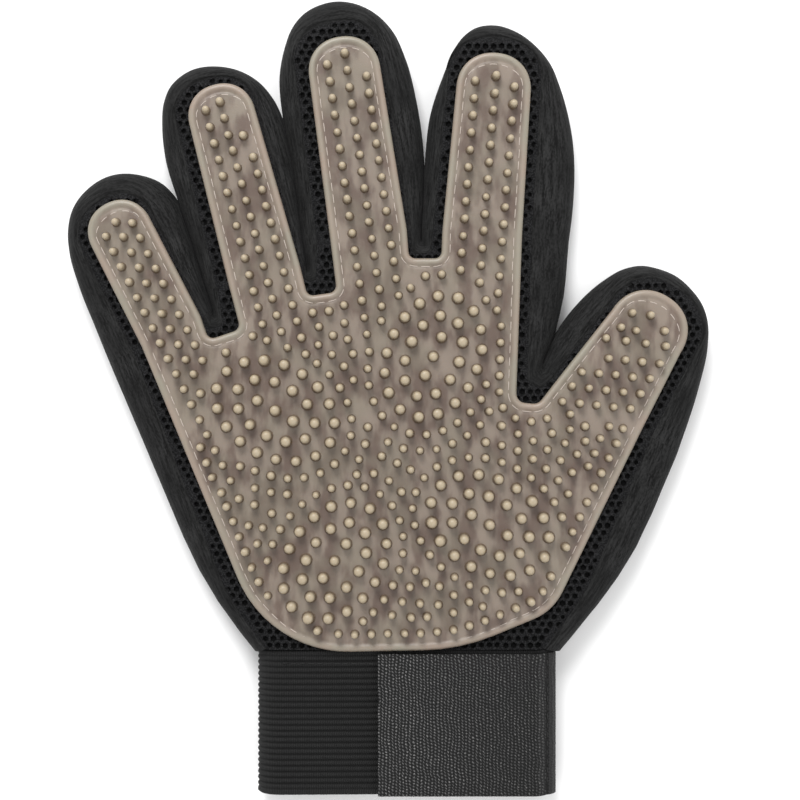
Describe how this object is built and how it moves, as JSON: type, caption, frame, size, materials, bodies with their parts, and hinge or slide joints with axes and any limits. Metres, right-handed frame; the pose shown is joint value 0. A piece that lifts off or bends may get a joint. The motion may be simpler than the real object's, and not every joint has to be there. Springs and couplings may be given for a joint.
{
  "type": "grooming glove",
  "caption": "Right-hand pet grooming glove with a nubbed silicone palm pad, mesh and knit fabric body, ribbed elastic cuff and hook-and-loop wrist strap.",
  "frame": {"origin": "middle of the glove's outline, on the surface that the back of the glove lies on", "axes": "+Y from the cuff towards the fingertips, +X towards the thumb, +Z out of the nubbed palm"},
  "size_m": [0.1932, 0.239, 0.0207],
  "materials": {
    "silicone": "translucent beige silicone with moulded nubs",
    "air_mesh": "black open air-mesh fabric",
    "gusset_knit": "charcoal fine-ribbed stretch knit",
    "elastic": "black ribbed elastic webbing",
    "strap_knit": "dark grey brushed strap fabric",
    "hook_and_loop": "black hook-and-loop tape",
    "thread": "pale sewing thread"
  },
  "bodies": {
    "palm": {"palm_mesh": "air_mesh", "palm_back": "air_mesh", "palm_pad": "silicone", "palm_little_gusset": "gusset_knit", "web_little_ring": "gusset_knit", "web_ring_middle": "gusset_knit", "web_middle_index": "gusset_knit", "web_index_thumb": "gusset_knit", "palm_thumb_gusset": "gusset_knit", "pad_thread_little_ring": "thread", "pad_thread_ring_middle": "thread", "pad_thread_middle_index": "thread", "pad_thread_index_thumb": "thread", "pad_thread_heel": "thread", "wrist_band": "elastic", "band_seam_thread": "thread", "loop_patch": "hook_and_loop", "strap_anchor": "strap_knit", "strap_anchor_thread": "thread"},
    "little_finger": {"little_left_gusset": "gusset_knit", "little_right_gusset": "gusset_knit", "little_mesh": "air_mesh", "little_back": "air_mesh", "little_pad": "silicone", "little_pad_thread": "thread"},
    "ring_finger": {"ring_left_gusset": "gusset_knit", "ring_right_gusset": "gusset_knit", "ring_mesh": "air_mesh", "ring_back": "air_mesh", "ring_pad": "silicone", "ring_pad_thread": "thread"},
    "middle_finger": {"middle_left_gusset": "gusset_knit", "middle_right_gusset": "gusset_knit", "middle_mesh": "air_mesh", "middle_back": "air_mesh", "middle_pad": "silicone", "middle_pad_thread": "thread"},
    "index_finger": {"index_left_gusset": "gusset_knit", "index_right_gusset": "gusset_knit", "index_mesh": "air_mesh", "index_back": "air_mesh", "index_pad": "silicone", "index_pad_thread": "thread"},
    "thumb": {"thumb_left_gusset": "gusset_knit", "thumb_right_gusset": "gusset_knit", "thumb_mesh": "air_mesh", "thumb_back": "air_mesh", "thumb_pad": "silicone", "thumb_pad_thread": "thread"},
    "strap": {"strap": "strap_knit", "hook_tape": "hook_and_loop"}
  },
  "joints": [
    {"name": "little_flex", "type": "hinge", "parent": "palm", "child": "little_finger", "pos_m": [-0.06504, 0.02024, 0.0207], "axis": [0.891, 0.454, 0], "range_deg": [0, 70]},
    {"name": "ring_flex", "type": "hinge", "parent": "palm", "child": "ring_finger", "pos_m": [-0.03704, 0.03724, 0.0207], "axis": [0.9664, 0.2571, 0], "range_deg": [0, 70]},
    {"name": "middle_flex", "type": "hinge", "parent": "palm", "child": "middle_finger", "pos_m": [-0.00564, 0.04884, 0.0207], "axis": [0.9895, 0.1444, 0], "range_deg": [0, 70]},
    {"name": "index_flex", "type": "hinge", "parent": "palm", "child": "index_finger", "pos_m": [0.02846, 0.04954, 0.0207], "axis": [0.9969, -0.0785, 0], "range_deg": [0, 70]},
    {"name": "thumb_flex", "type": "hinge", "parent": "palm", "child": "thumb", "pos_m": [0.06396, -0.00156, 0.0207], "axis": [0.8434, -0.5373, 0], "range_deg": [0, 60]},
    {"name": "strap_open", "type": "hinge", "parent": "palm", "child": "strap", "pos_m": [0.04476, -0.09806, 0.0181], "axis": [0, 1, 0], "range_deg": [0, 150]}
  ]
}
